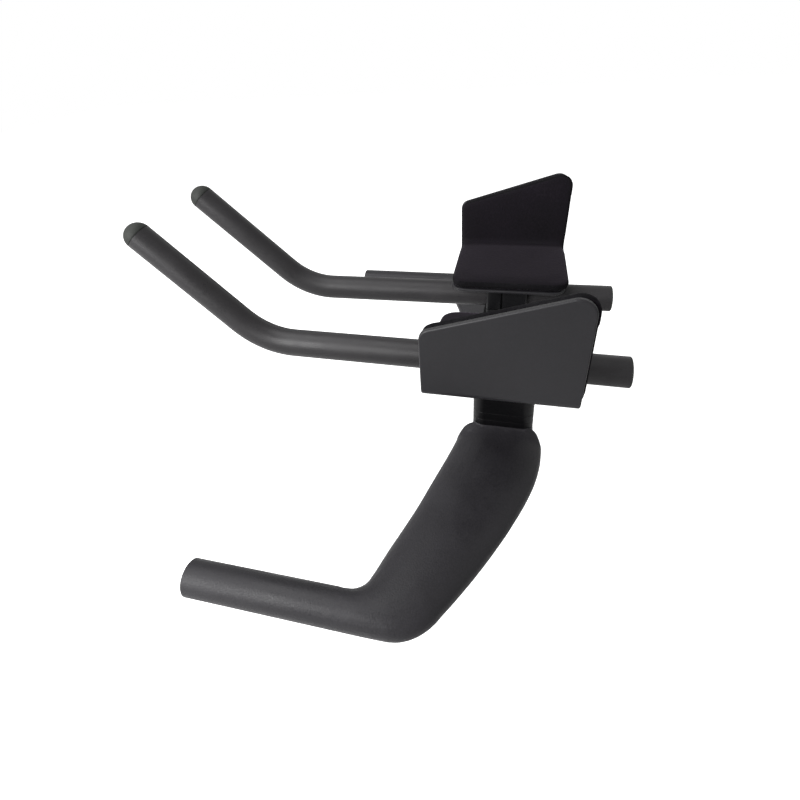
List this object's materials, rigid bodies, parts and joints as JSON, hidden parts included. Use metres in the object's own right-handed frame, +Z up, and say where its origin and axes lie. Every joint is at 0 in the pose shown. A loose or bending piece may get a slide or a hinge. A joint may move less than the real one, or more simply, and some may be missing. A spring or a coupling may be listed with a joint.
{
  "type": "time trial handlebar cockpit with aero extensions",
  "caption": "Flat base bar with swept wings and grips, carrying clamped extensions that bend up at the tips and padded arm rests on riser stacks.",
  "frame": {"origin": "centre of the stem clamp zone of the base bar", "axes": "+X forward in the direction of travel, +Y to the rider's left along the clamp zone, +Z up"},
  "size_m": [0.3843, 0.443, 0.1929],
  "materials": {
    "bar_black": "matte",
    "tube_black": "matte",
    "cap_grey": "matte",
    "stack_black": "matte",
    "clamp_black": "satin",
    "shell_grey": "satin",
    "hook_tape": "matte",
    "pad_fabric": "matte",
    "bolt_steel": "black oxide"
  },
  "bodies": {
    "root": {"base_bar": "bar_black", "left_extension": "tube_black", "left_tip_cap": "cap_grey", "left_rear_plug": "cap_grey", "left_lower_spacer": "stack_black", "left_upper_spacer": "stack_black", "left_riser": "stack_black", "left_clamp_saddle": "clamp_black", "left_clamp_cap": "clamp_black", "left_arm_rest": "shell_grey", "left_hook_strips": "hook_tape", "left_arm_pad": "pad_fabric", "left_stack_bolts": "bolt_steel", "left_rest_screws": "bolt_steel", "left_bar_inserts": "bolt_steel", "left_clamp_bolts": "bolt_steel", "right_extension": "tube_black", "right_tip_cap": "cap_grey", "right_rear_plug": "cap_grey", "right_lower_spacer": "stack_black", "right_upper_spacer": "stack_black", "right_riser": "stack_black", "right_clamp_saddle": "clamp_black", "right_clamp_cap": "clamp_black", "right_arm_rest": "shell_grey", "right_hook_strips": "hook_tape", "right_arm_pad": "pad_fabric", "right_stack_bolts": "bolt_steel", "right_rest_screws": "bolt_steel", "right_bar_inserts": "bolt_steel", "right_clamp_bolts": "bolt_steel"}
  },
  "joints": []
}
